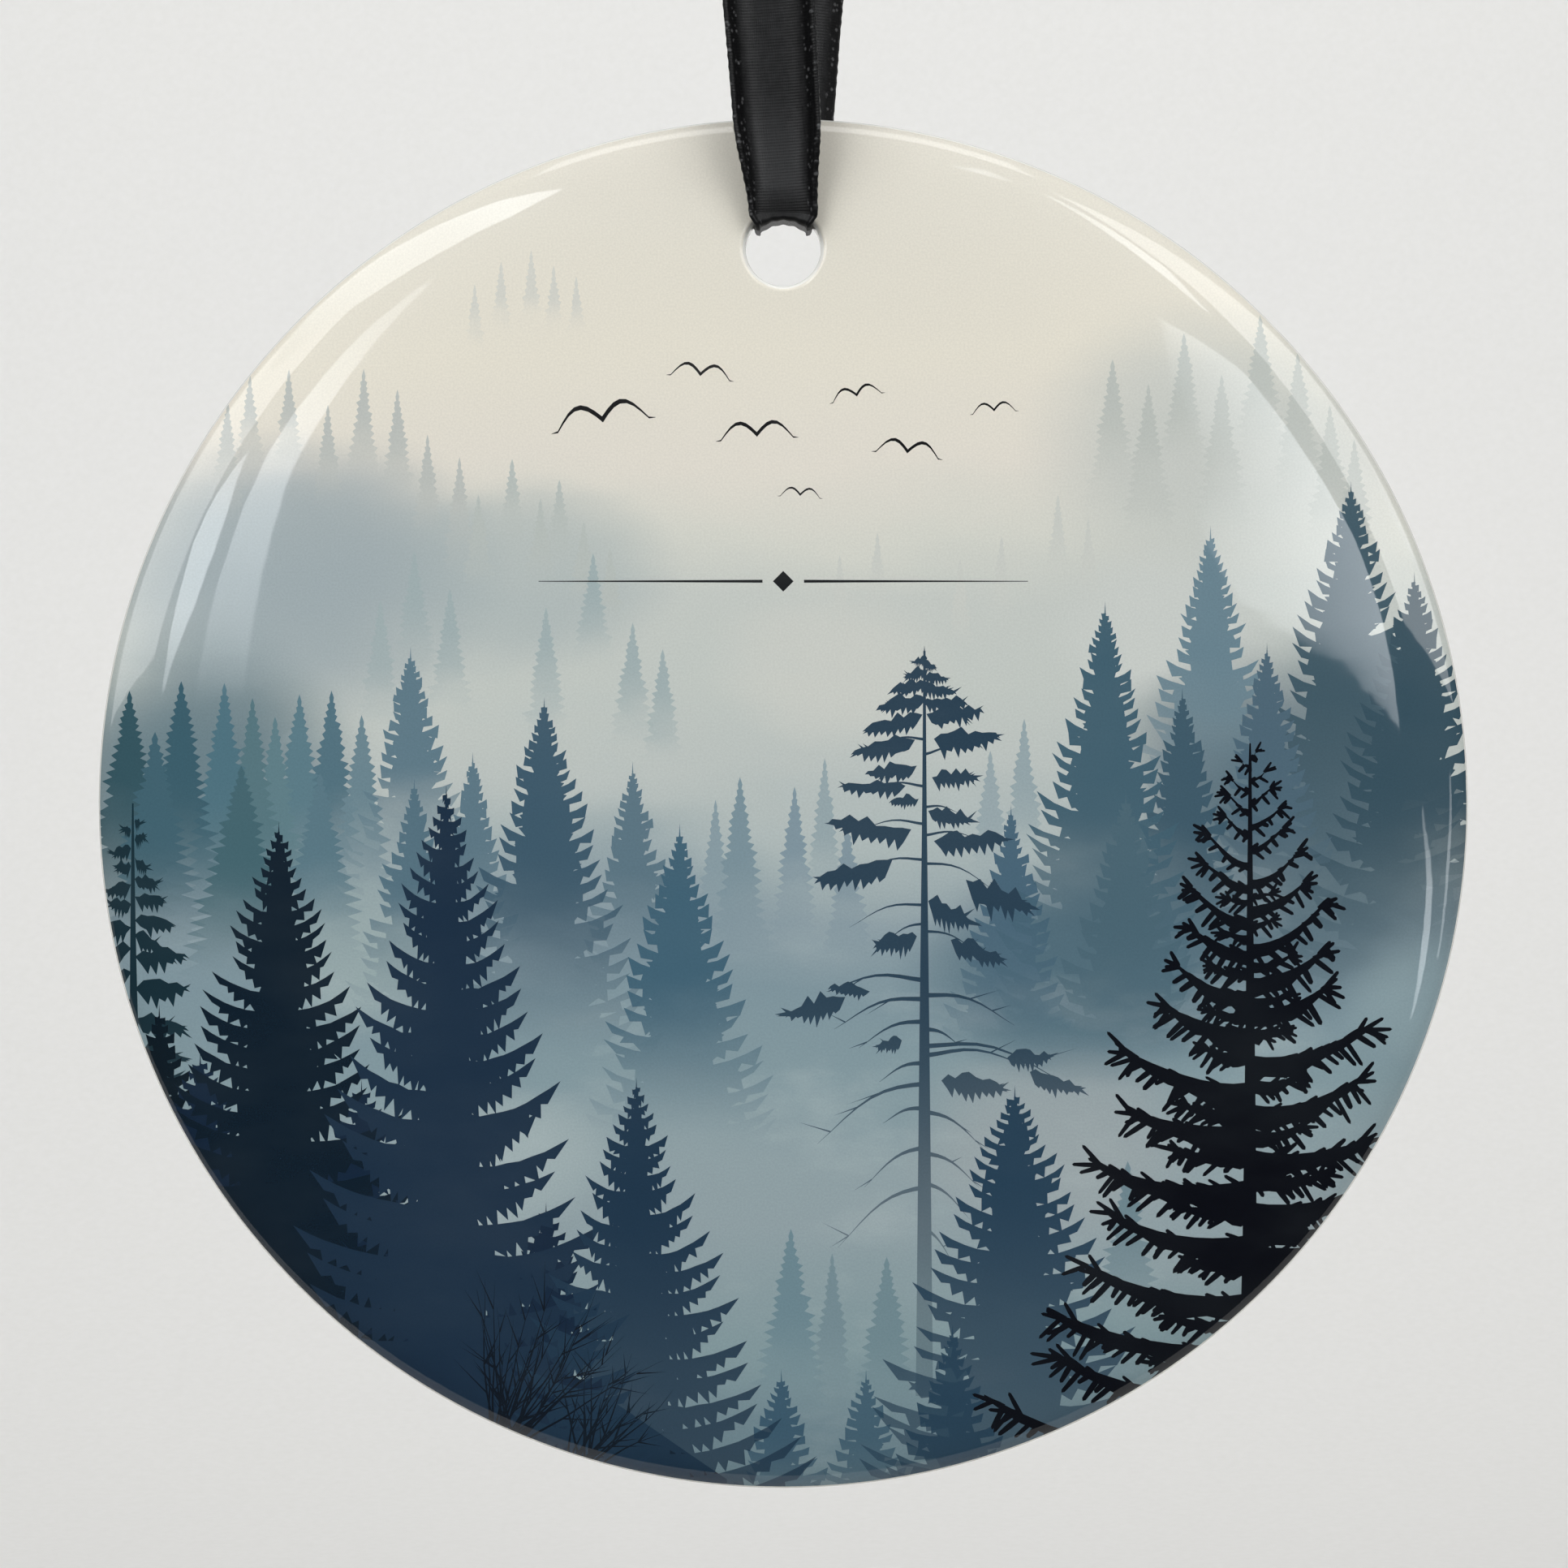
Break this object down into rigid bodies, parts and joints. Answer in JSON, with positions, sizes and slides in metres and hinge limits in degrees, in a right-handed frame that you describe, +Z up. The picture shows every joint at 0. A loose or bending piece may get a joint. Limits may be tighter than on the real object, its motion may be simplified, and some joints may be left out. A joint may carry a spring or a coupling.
{
  "type": "hanging ornament",
  "caption": "Round glazed ceramic hanging ornament with a printed misty forest on its front, hung from a knotted loop of black satin ribbon.",
  "frame": {"origin": "the hang point: the inside of the ribbon loop at its top, where a hook or twig bears", "axes": "+Z is up, against gravity; -Y is the picture side, so +Y points out of the flat back; +X is to the right of someone who looks at the picture"},
  "size_m": [0.073, 0.0092, 0.152],
  "materials": {
    "glazed_body": "gloss glaze, white",
    "print_coat": "clear gloss coat over a printed picture",
    "satin_ribbon": "black single-face satin"
  },
  "bodies": {
    "ribbon_top": {"ribbon_crown": "satin_ribbon", "ribbon_knot": "satin_ribbon", "ribbon_tail_left": "satin_ribbon", "ribbon_tail_right": "satin_ribbon"},
    "ribbon_runs": {"ribbon_front_run": "satin_ribbon", "ribbon_back_run": "satin_ribbon"},
    "ribbon_bight": {"ribbon_bight": "satin_ribbon"},
    "disc": {"ceramic_disc": "glazed_body", "front_print_coat": "print_coat"}
  },
  "joints": [
    {"name": "fore_aft_swing", "type": "hinge", "parent": "ribbon_top", "child": "ribbon_runs", "pos_m": [0, 0, -0.009], "axis": [1, 0, 0], "range_deg": [-30, 30]},
    {"name": "ribbon_twist", "type": "hinge", "parent": "ribbon_runs", "child": "ribbon_bight", "pos_m": [0, 0, -0.0535], "axis": [0, 0, 1], "range_deg": [-150, 150], "stiffness_Nm_per_rad": 0.00005},
    {"name": "disc_rock", "type": "hinge", "parent": "ribbon_bight", "child": "disc", "pos_m": [0, 0, -0.065], "axis": [0, 1, 0], "range_deg": [-40, 40]}
  ]
}
